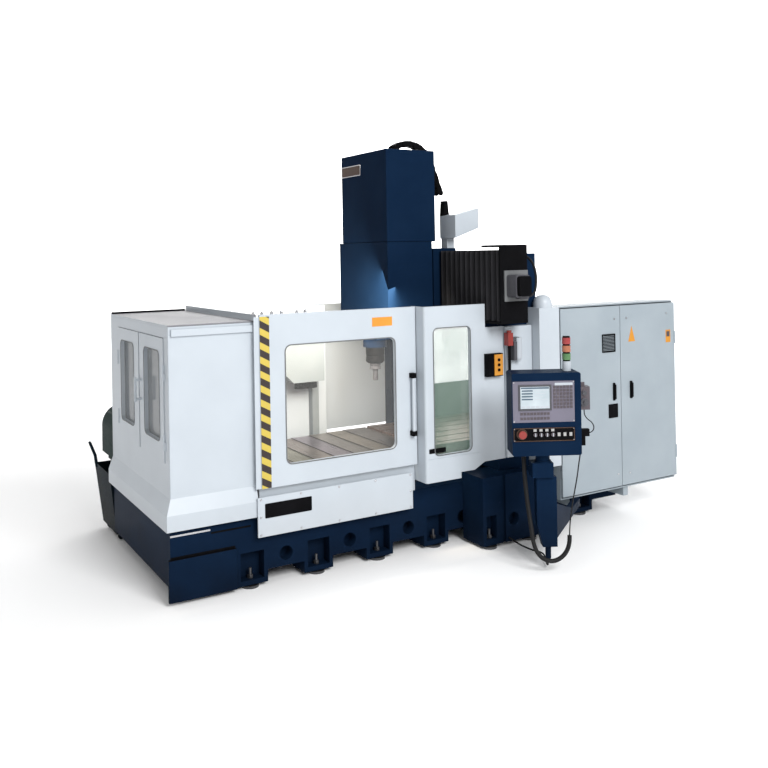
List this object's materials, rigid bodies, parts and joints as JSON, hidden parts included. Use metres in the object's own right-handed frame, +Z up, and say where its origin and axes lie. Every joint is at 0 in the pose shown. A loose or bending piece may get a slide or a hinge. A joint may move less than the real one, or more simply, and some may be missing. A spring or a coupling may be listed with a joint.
{
  "type": "double column machining center",
  "caption": "Double column machining center with a travelling table, beam-mounted head, guarded work area, sliding door, electrical cabinet and operator pendant.",
  "frame": {"origin": "on the floor, below the centre of the whole machine's box", "axes": "+X along the bed from the left end to the electrical cabinet, +Y from the operator's side to the rear, +Z up"},
  "size_m": [4.994, 3.3504, 3.5334],
  "materials": {
    "navy_paint": "satin",
    "white_paint": "satin",
    "cabinet_paint": "satin",
    "bright_steel": "brushed",
    "black_sheet": "satin",
    "grey_motor": "satin",
    "bellows_rubber": "matte",
    "window_glass": "polished",
    "black_plastic": "matte",
    "table_iron": "satin",
    "cover_steel": "brushed",
    "grey_paint": "satin",
    "green_paint": "satin",
    "bin_paint": "satin",
    "panel_face": "matte",
    "lamp_plastic": "gloss",
    "hose_rubber": "matte"
  },
  "bodies": {
    "root": {"bed_casting": "navy_paint", "levelling_pads": "bright_steel", "bed_corner_cover": "navy_paint", "table_rails": "bright_steel", "column_near": "navy_paint", "column_far": "navy_paint", "cross_beam": "navy_paint", "beam_rails": "bright_steel", "beam_covers": "black_sheet", "beam_motor": "grey_motor", "motor_cable": "hose_rubber", "bellows_near": "bellows_rubber", "bellows_far": "bellows_rubber", "left_front_panel": "white_paint", "left_end_wall": "white_paint", "left_roof": "white_paint", "rear_wall": "white_paint", "right_front_panel": "white_paint", "side_window": "window_glass", "right_guards": "white_paint", "front_sill": "white_paint", "door_rail": "bright_steel", "switch_box": "black_plastic", "column_cover": "white_paint", "air_unit": "black_plastic", "cabinet_body": "cabinet_paint", "cabinet_plate": "bright_steel", "way_cover_left": "cover_steel", "way_cover_right": "cover_steel", "tool_changer": "grey_paint", "tool_changer_arm": "black_sheet", "chip_conveyor": "green_paint", "chip_bin": "bin_paint", "pendant_post": "navy_paint", "post_conduit": "hose_rubber"},
    "table": {"table": "table_iron"},
    "saddle": {"saddle": "navy_paint", "cable_duct": "white_paint"},
    "head": {"head_body": "navy_paint", "head_cover": "navy_paint", "drag_chain": "black_plastic"},
    "spindle": {"spindle": "bright_steel"},
    "front_door": {"door_hangers": "bright_steel", "sliding_door": "white_paint", "sliding_door_window": "window_glass", "sliding_door_handle": "black_plastic"},
    "end_door_near": {"end_door_near": "white_paint", "end_window_near": "window_glass"},
    "end_door_far": {"end_door_far": "white_paint", "end_window_far": "window_glass"},
    "cabinet_door_left": {"cabinet_door_left": "cabinet_paint"},
    "cabinet_door_right": {"cabinet_door_right": "cabinet_paint"},
    "pendant": {"pendant_box": "navy_paint", "pendant_panel": "panel_face", "stack_light": "lamp_plastic", "handwheel": "black_plastic", "pendant_hose": "hose_rubber", "pendant_cable": "hose_rubber", "handwheel_lead": "hose_rubber"}
  },
  "joints": [
    {"name": "table_slide", "type": "slide", "parent": "root", "child": "table", "axis": [1, 0, 0], "range_m": [-1.8, 0], "deforming": ["way_cover_left", "way_cover_right"]},
    {"name": "saddle_slide", "type": "slide", "parent": "root", "child": "saddle", "axis": [0, 1, 0], "range_m": [-0.48, 0.48], "deforming": ["bellows_near", "bellows_far"]},
    {"name": "head_slide", "type": "slide", "parent": "saddle", "child": "head", "axis": [0, 0, 1], "range_m": [-0.45, 0.3]},
    {"name": "spindle_spin", "type": "hinge", "parent": "head", "child": "spindle", "pos_m": [-0.2, 0.28523, 1.64], "axis": [0, 0, 1], "continuous": true},
    {"name": "front_door_slide", "type": "slide", "parent": "root", "child": "front_door", "axis": [1, 0, 0], "range_m": [-0.64, 0]},
    {"name": "end_door_near_hinge", "type": "hinge", "parent": "root", "child": "end_door_near", "pos_m": [-2.406, -0.46077, 1.4], "axis": [0, 0, 1], "range_deg": [0, 110]},
    {"name": "end_door_far_hinge", "type": "hinge", "parent": "root", "child": "end_door_far", "pos_m": [-2.406, 0.83123, 1.4], "axis": [0, 0, -1], "range_deg": [0, 110]},
    {"name": "cabinet_door_left_hinge", "type": "hinge", "parent": "root", "child": "cabinet_door_left", "pos_m": [1.032, -0.86477, 1.1], "axis": [0, 0, -1], "range_deg": [0, 100]},
    {"name": "cabinet_door_right_hinge", "type": "hinge", "parent": "root", "child": "cabinet_door_right", "pos_m": [2.488, -0.86477, 1.1], "axis": [0, 0, 1], "range_deg": [0, 110]},
    {"name": "pendant_swivel", "type": "hinge", "parent": "root", "child": "pendant", "pos_m": [0.3, -1.44477, 0.85], "axis": [0, 0, 1], "range_deg": [-30, 45]}
  ]
}
